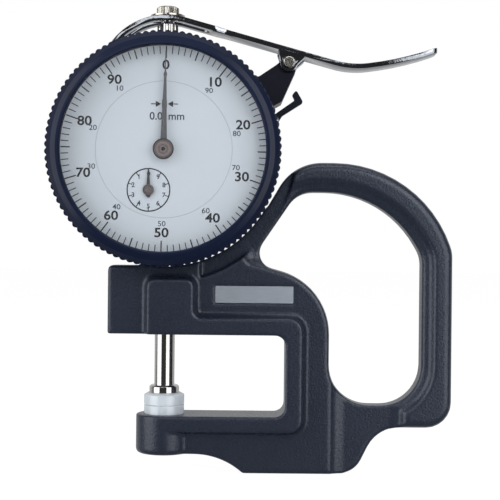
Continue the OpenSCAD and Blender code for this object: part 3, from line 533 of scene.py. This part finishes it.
def turned(name, node, material, middle, radii, depths, steps=64):
    """A flat ring round a dial axis; radii and depths behind the node's front are in millimetres."""
    bm = bmesh.new()
    node_front = low(node).y
    (inner, outer), (front, back) = radii, depths
    corners = ((inner, front), (outer, front), (outer, back), (inner, back))
    points = [bm.verts.new((middle.x + r * MM, node_front + y * MM, middle.z)) for r, y in corners]
    edges = [bm.edges.new((a, b)) for a, b in zip(points, points[1:] + points[:1])]
    bmesh.ops.spin(
        bm, geom=points + edges, cent=middle, axis=(0, 1, 0), angle=2 * pi, steps=steps, use_merge=True
    )
    bmesh.ops.remove_doubles(bm, verts=bm.verts, dist=WELD)
    bmesh.ops.recalc_face_normals(bm, faces=bm.faces)
    return piece(name, bm, node, material)


# Grey seam between the fixed dial and the turning ring round it
SEAM_OUT, SEAM_HALF = 0.05, 0.06
seam_r = (high("dial_disc").x - low("dial_disc").x) / 2 / MM + SEAM_OUT
seam_radii = (seam_r - SEAM_HALF, seam_r + SEAM_HALF)
turned("dial_seam", "dial_disc", seam_grey, dial_middle, seam_radii, (0.03, 0.12), steps=160)
# Blackened rim round the hub; its black line also stands in for the hub's shadow on the dial, a painted
# shadow
turned("hub_rim_and_painted_shadow", "pointer", black_oxide, dial_middle, (2.3, 2.52), (-0.02, 0.42))
# Inner half of the counter's bold circle, beside the solid's thin line
turned("counter_circle", "counter_marks", ink, counter_middle, (5, 5.2), (0.004, 0.015))


# Printing on the dial

dial_face = low("dial_ring").y
INK = 0.02 * MM


def on_dial(middle, radius, clock):
    """The place at a radius in millimetres and a clockwise angle in degrees round a middle point."""
    a = radians(clock)
    return (middle.x + radius * MM * sin(a), middle.z + radius * MM * cos(a))


def print_words(bm, words, height, at, weight=0.0, wide=1.0):
    """Adds words of a height in millimetres, centred at (x, z) on the dial face; wide stretches them."""
    curve = bpy.data.curves.new(words, "FONT")
    curve.body = words
    curve.align_x = "CENTER"
    curve.extrude = 0.5
    curve.offset = weight
    curve.resolution_u = 4
    holder = bpy.data.objects.new(words, curve)
    mesh = bpy.data.meshes.new_from_object(holder)
    bpy.data.objects.remove(holder)
    bpy.data.curves.remove(curve)
    xs = [v.co.x for v in mesh.vertices]
    ys = [v.co.y for v in mesh.vertices]
    scale = height * MM / (max(ys) - min(ys))
    middle = Vector(((max(xs) + min(xs)) / 2, (max(ys) + min(ys)) / 2, -0.5))
    mesh.transform(
        Matrix.Translation((at[0], dial_face, at[1]))
        @ Matrix.Rotation(radians(90), 4, "X")
        @ Matrix.Diagonal((scale * wide, scale, INK, 1))
        @ Matrix.Translation(-middle)
    )
    bm.from_mesh(mesh)
    bpy.data.meshes.remove(mesh)


def printed(name, bm, node, material):
    """Makes the words that were gathered in a bmesh one piece."""
    bmesh.ops.remove_doubles(bm, verts=bm.verts, dist=WELD)
    return piece(name, bm, node, material)


# Sideways shifts in millimetres of large numerals, which are set by their outline and not by their middle
NUMBER_SHIFT = {1: 0.22, 2: -0.3, 3: -0.22, 4: 0.3, 6: -0.36, 9: -0.4}
# The reverse numerals sit beside the large ones, a little off the ring at the sides of the dial
SIDE_PLACES = {
    2: (17.6, 4.0),
    3: (17.49, -4.25),
    6: (-11.28, -13.96),
    7: (-17.47, -4.2),
    8: (-17.18, 5.15),
    9: (-10.67, 14.7),
}
# The dial stands a degree off the vertical; radii and heights of the numerals are in millimetres
DIAL_TURN = 1
NUMBER_R, NUMBER_HEIGHT, NUMBER_WEIGHT, NUMBER_WIDE = 20.3, 2.35, 0.022, 1.13
REVERSE_R, REVERSE_HEIGHT, REVERSE_WEIGHT, REVERSE_WIDE = 17.95, 1.3, 0.008, 1.1
COUNT_R, COUNT_HEIGHT, COUNT_WEIGHT = 3.92, 1.2, 0.02
LEGEND_AT, LEGEND_HEIGHT, LEGEND_WEIGHT = (0.7, 8.08), 1.9, 0.012
NUMBER_RISE = 0.2
number_middle = dial_middle + Vector((0, 0, NUMBER_RISE * MM))
numerals = bmesh.new()
reverse = bmesh.new()
for i in range(10):
    clock = 36 * i + DIAL_TURN
    x, z = on_dial(number_middle, NUMBER_R, clock)
    x += NUMBER_SHIFT.get(i, 0) * MM
    print_words(numerals, str(10 * i), NUMBER_HEIGHT, (x, z), NUMBER_WEIGHT, NUMBER_WIDE)
    if i:
        x, z = on_dial(dial_middle, REVERSE_R, clock)
        if i in SIDE_PLACES:
            x, z = (dial_middle.xz + Vector(SIDE_PLACES[i]) * MM)[:]
        print_words(reverse, str(100 - 10 * i), REVERSE_HEIGHT, (x, z), REVERSE_WEIGHT, REVERSE_WIDE)
printed("dial_numerals", numerals, "dial_marks", ink)
printed("reverse_numerals", reverse, "dial_marks", fine_ink)

legend = bmesh.new()
print_words(legend, "0.01mm", LEGEND_HEIGHT, dial_middle.xz + Vector(LEGEND_AT) * MM, LEGEND_WEIGHT)
for i in range(10):
    print_words(legend, str(i), COUNT_HEIGHT, on_dial(counter_middle, COUNT_R, -36 * i), COUNT_WEIGHT)
printed("dial_legend", legend, "counter_marks", fine_ink)


ARROW_UP = 10.98 * MM
ARROW_HEAD = 1.3 * MM
SHAFT_AT, SHAFT = 1.65 * MM, (1.7 * MM, INK, 0.24 * MM)
BAR_AT, BAR = -0.3 * MM, (0.2 * MM, INK, 1.9 * MM)
# Where each arrow's tip stands beside the dial's middle, and on which side of the hand
ARROW_TIPS = ((-0.72 * MM, -1), (0.86 * MM, 1))


def arrow(bm, tip, side):
    """A printed arrow and the bar that it points at, to one side of the hand; side is 1 on the right."""
    row = Vector((tip, dial_face - INK / 2, dial_middle.z + ARROW_UP))
    reach = ARROW_HEAD / 1.5
    bmesh.ops.create_cone(
        bm,
        cap_ends=True,
        segments=3,
        radius1=reach,
        radius2=reach,
        depth=INK,
        matrix=Matrix.Translation(row + Vector((side * reach, 0, 0)))
        @ Matrix.Rotation(radians(90), 4, "X")
        @ Matrix.Rotation(radians(90 if side > 0 else -90), 4, "Z"),
    )
    for along, size in ((SHAFT_AT, SHAFT), (BAR_AT, BAR)):
        bmesh.ops.create_cube(
            bm,
            size=1,
            matrix=Matrix.Translation(row + Vector((side * along, 0, 0))) @ Matrix.Diagonal((*size, 1)),
        )


arrows = bmesh.new()
for tip, side in ARROW_TIPS:
    arrow(arrows, dial_middle.x + tip, side)
piece("graduation_arrows", arrows, "counter_marks", ink)


# Studio

FLOOR_REACH = 3
floor_z = cad_box[0][2]
floor_mesh = bpy.data.meshes.new("floor")
plane = bmesh.new()
bmesh.ops.create_grid(
    plane, x_segments=1, y_segments=1, size=FLOOR_REACH, matrix=Matrix.Translation((0, 0, floor_z))
)
plane.to_mesh(floor_mesh)
plane.free()
floor = bpy.data.objects.new("floor", floor_mesh)
scene.collection.objects.link(floor)


def level_behind(tree, direction, near, far, start, end):
    """A level that goes from near in front of the gauge to far behind it, along Y."""
    axes = add(tree, "ShaderNodeSeparateXYZ", {0: direction})
    ramp = add(
        tree,
        "ShaderNodeMapRange",
        {"Value": axes.outputs["Y"], "From Min": start, "From Max": end, "To Min": near, "To Max": far},
    )
    return ramp.outputs["Result"]


# Levels of the floor: white to the eye, its share of the surface, and its grey in reflections
EYE_WHITE = 1.13
GLOW_SHARE = 0.85
REFLECTED_GREY = 0.55

# Pale studio floor: white to the eye, grey in reflections, matt enough to hold a soft contact shadow
floor_paint = bpy.data.materials.new("studio_floor")
floor_paint.use_nodes = True
tree = floor_paint.node_tree
matt = tree.nodes["Principled BSDF"]
matt.inputs["Base Color"].default_value = linear("f4f5f6")
matt.inputs["Roughness"].default_value = 0.9
path = add(tree, "ShaderNodeLightPath").outputs
eye = add(tree, "ShaderNodeMath", {0: path["Is Camera Ray"], 1: EYE_WHITE}, operation="MULTIPLY")
place = add(tree, "ShaderNodeTexCoord")
front = level_behind(tree, place.outputs["Object"], near=1.0, far=0.0, start=-0.05, end=0.15)
seen = add(
    tree,
    "ShaderNodeMath",
    {0: path["Is Camera Ray"], 1: path["Is Transmission Ray"]},
    operation="MAXIMUM",
)
mirrored = add(
    tree, "ShaderNodeMath", {0: seen.outputs[0], 1: path["Is Glossy Ray"]}, operation="MAXIMUM"
)
share = add(tree, "ShaderNodeMath", {0: mirrored.outputs[0], 1: GLOW_SHARE}, operation="MULTIPLY")
level = add(tree, "ShaderNodeMath", {0: eye.outputs[0], 1: REFLECTED_GREY}, operation="MAXIMUM")
glow = add(tree, "ShaderNodeEmission", {"Color": (1, 1, 1, 1), "Strength": level.outputs[0]})
both = add(
    tree,
    "ShaderNodeMixShader",
    {0: share.outputs[0], 1: matt.outputs["BSDF"], 2: glow.outputs["Emission"]},
)
# In front of the gauge the metal looks past the floor at the cards
past = add(tree, "ShaderNodeMath", {0: path["Is Glossy Ray"], 1: front}, operation="MULTIPLY")
gone = add(tree, "ShaderNodeBsdfTransparent")
surface = add(
    tree, "ShaderNodeMixShader", {0: past.outputs[0], 1: both.outputs["Shader"], 2: gone.outputs["BSDF"]}
)
tree.links.new(surface.outputs["Shader"], tree.nodes["Material Output"].inputs["Surface"])
floor_mesh.materials.append(floor_paint)

# World: white behind the gauge to the eye, grey behind and dark on the reader's side in reflections
world = bpy.data.worlds.new("studio")
scene.world = world
world.use_nodes = True
tree = world.node_tree
tree.nodes.clear()
path = add(tree, "ShaderNodeLightPath")
ray = add(tree, "ShaderNodeTexCoord")
around = level_behind(tree, ray.outputs["Generated"], near=0.05, far=0.65, start=0.2, end=0.6)
level = add(tree, "ShaderNodeMath", {0: around, 1: path.outputs["Is Camera Ray"]}, operation="MAXIMUM")
sky = add(tree, "ShaderNodeBackground", {"Color": (1, 1, 1, 1), "Strength": level.outputs[0]})
add(tree, "ShaderNodeOutputWorld", {"Surface": sky.outputs["Background"]})


def softbox(name, at, look, size, power):
    """An area lamp at a place, turned to a point, all in metres."""
    lamp = bpy.data.lights.new(name, "AREA")
    lamp.shape = "RECTANGLE"
    lamp.size, lamp.size_y = size
    lamp.energy = power
    obj = bpy.data.objects.new(name, lamp)
    obj.location = at
    obj.rotation_euler = (Vector(look) - Vector(at)).to_track_quat("-Z", "Y").to_euler()
    scene.collection.objects.link(obj)


# Large cards to both sides, smaller ones high up by the camera, and a dark slot between them
aim = (0.02, 0, 0.04)
softbox("left_card", (-0.413, -0.25, 0.13), aim, (0.48, 0.6), 1.8)
softbox("right_card", (0.335, -0.389, 0.13), aim, (0.38, 0.6), 1.35)
softbox("left_high_card", (-0.09, -0.45, 0.27), (-0.09, 0, 0.27), (0.106, 0.26), 0.18)
softbox("right_high_card", (0.207, -0.45, 0.27), (0.207, 0, 0.27), (0.186, 0.26), 0.3)
softbox("top_softbox", (0.02, -0.12, 0.62), aim, (0.6, 0.4), 1.4)

# Camera: square to the gauge at arm's length, turned a little about its own axis
CAMERA_AT = Vector((21.08, -310, 38.7)) * MM
CAMERA_ROLL = 0.56
camera_data = bpy.data.cameras.new("camera")
camera_data.sensor_width = 36
camera_data.lens = 89.3
camera_data.clip_start = 0.01
camera = bpy.data.objects.new("camera", camera_data)
scene.collection.objects.link(camera)
camera.matrix_world = (
    Matrix.Translation(CAMERA_AT)
    @ Matrix.Rotation(radians(90), 4, "X")
    @ Matrix.Rotation(radians(CAMERA_ROLL), 4, "Z")
)
scene.camera = camera

scene.view_settings.view_transform = "Standard"
